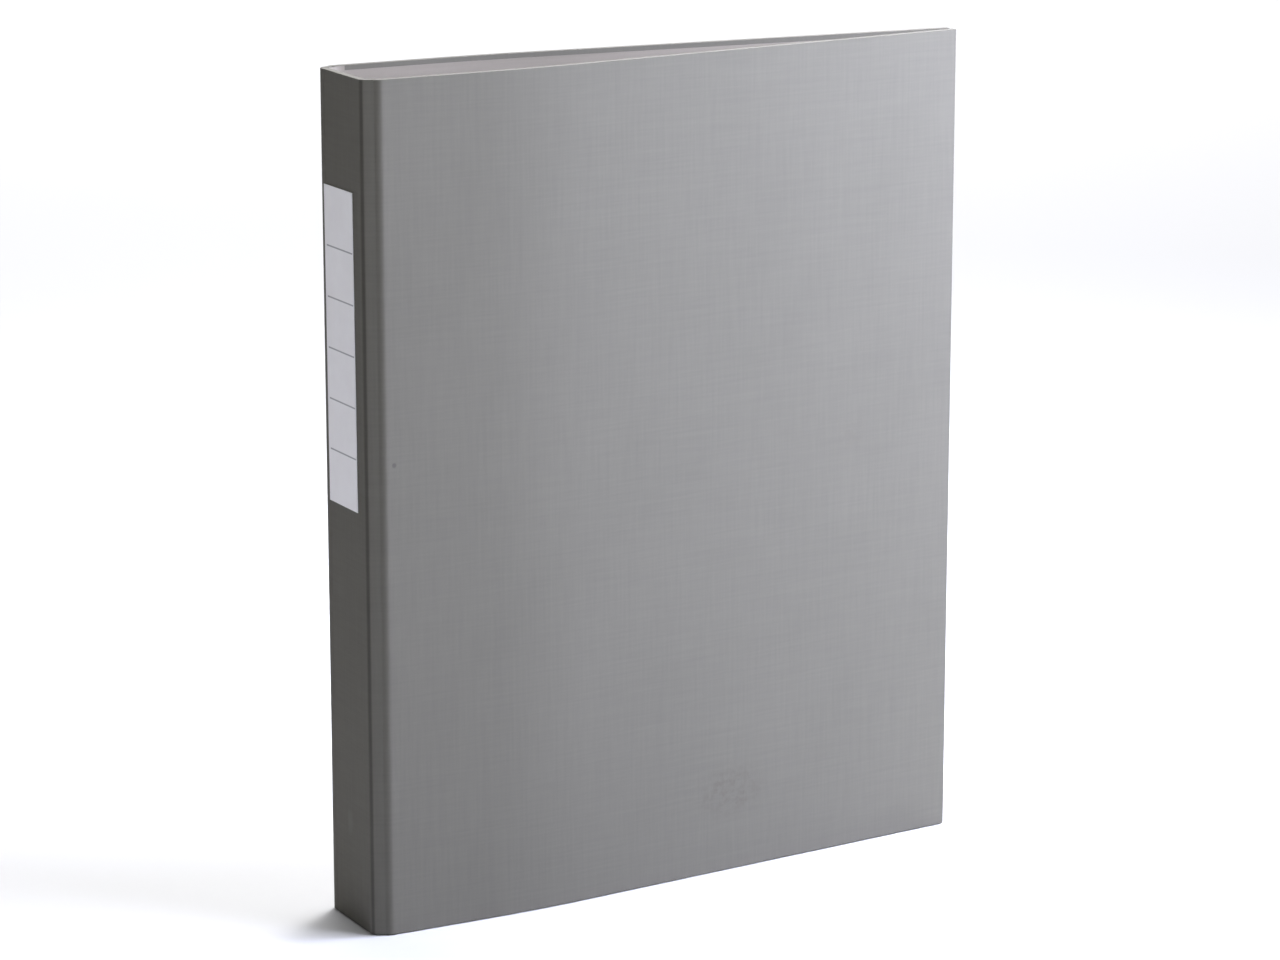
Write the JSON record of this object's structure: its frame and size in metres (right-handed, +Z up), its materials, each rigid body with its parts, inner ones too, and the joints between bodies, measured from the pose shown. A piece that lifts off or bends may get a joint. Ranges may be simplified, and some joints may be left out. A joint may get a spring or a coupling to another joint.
{
  "type": "ring binder",
  "caption": "Upright A4 ring binder in grey linen-embossed book cloth, with a ruled white spine label, hinged covers and an opening ring mechanism inside the back cover.",
  "frame": {"origin": "under the middle of the closed binder, on the surface that it stands on", "axes": "+X from the spine to the fore edge, +Y from the front cover to the back cover, +Z up"},
  "size_m": [0.2554, 0.0432, 0.316],
  "materials": {
    "book_cloth": "linen-embossed book cloth, matt",
    "pasteboard": "grey pasteboard, bare edges",
    "lining_paper": "ribbed grey paper, matt",
    "label_paper": "smooth white paper",
    "plated_steel": "bright nickel plate"
  },
  "bodies": {
    "spine": {"spine_cloth": "book_cloth", "spine_board": "pasteboard", "spine_lining": "lining_paper", "spine_label": "label_paper"},
    "front_strip": {"front_strip_cloth": "book_cloth", "front_strip_board": "pasteboard", "front_strip_lining": "lining_paper"},
    "front_cover": {"front_cover_cloth": "book_cloth", "front_cover_board": "pasteboard", "front_cover_lining": "lining_paper"},
    "back_strip": {"back_strip_cloth": "book_cloth", "back_strip_board": "pasteboard", "back_strip_lining": "lining_paper"},
    "back_cover": {"back_cover_cloth": "book_cloth", "back_cover_board": "pasteboard", "back_cover_lining": "lining_paper", "mechanism_housing": "plated_steel", "upper_lever_pin": "plated_steel", "lower_lever_pin": "plated_steel", "upper_rivet": "plated_steel", "lower_rivet": "plated_steel"},
    "spine_side_rings": {"spine_side_blade": "plated_steel", "spine_side_ring_1": "plated_steel", "spine_side_ring_2": "plated_steel", "spine_side_ring_3": "plated_steel", "spine_side_ring_4": "plated_steel"},
    "fore_side_rings": {"fore_side_blade": "plated_steel", "fore_side_ring_1": "plated_steel", "fore_side_ring_2": "plated_steel", "fore_side_ring_3": "plated_steel", "fore_side_ring_4": "plated_steel"},
    "upper_lever": {"upper_lever": "plated_steel"},
    "lower_lever": {"lower_lever": "plated_steel"}
  },
  "joints": [
    {"name": "front_corner_crease", "type": "hinge", "parent": "spine", "child": "front_strip", "pos_m": [-0.12689, -0.01785, 0.158], "axis": [0, 0, -1], "range_deg": [0, 111]},
    {"name": "front_groove_crease", "type": "hinge", "parent": "front_strip", "child": "front_cover", "pos_m": [-0.12303, -0.02036, 0.158], "axis": [0, 0, -1], "range_deg": [0, 69]},
    {"name": "back_corner_crease", "type": "hinge", "parent": "spine", "child": "back_strip", "pos_m": [-0.12689, 0.01655, 0.158], "axis": [0, 0, 1], "range_deg": [0, 111]},
    {"name": "back_groove_crease", "type": "hinge", "parent": "back_strip", "child": "back_cover", "pos_m": [-0.12303, 0.01905, 0.158], "axis": [0, 0, 1], "range_deg": [0, 69]},
    {"name": "spine_side_opening", "type": "hinge", "parent": "back_cover", "child": "spine_side_rings", "pos_m": [-0.10959, 0.01391, 0.158], "axis": [0, 0, -1], "range_deg": [0, 16]},
    {"name": "fore_side_opening", "type": "hinge", "parent": "back_cover", "child": "fore_side_rings", "pos_m": [-0.09119, 0.01391, 0.158], "axis": [0, 0, 1], "range_deg": [0, 16]},
    {"name": "upper_lever_press", "type": "hinge", "parent": "back_cover", "child": "upper_lever", "pos_m": [-0.10039, 0.0149, 0.288], "axis": [-1, 0, 0], "range_deg": [0, 15]},
    {"name": "lower_lever_press", "type": "hinge", "parent": "back_cover", "child": "lower_lever", "pos_m": [-0.10039, 0.0149, 0.028], "axis": [1, 0, 0], "range_deg": [0, 15]}
  ],
  "couplings": [
    {"joint": "front_corner_crease", "follows": "front_groove_crease", "ratio": 1.6},
    {"joint": "back_corner_crease", "follows": "back_groove_crease", "ratio": 1.6},
    {"joint": "fore_side_opening", "follows": "spine_side_opening", "ratio": 1},
    {"joint": "upper_lever_press", "follows": "spine_side_opening", "ratio": 0.9375},
    {"joint": "lower_lever_press", "follows": "spine_side_opening", "ratio": 0.9375}
  ]
}
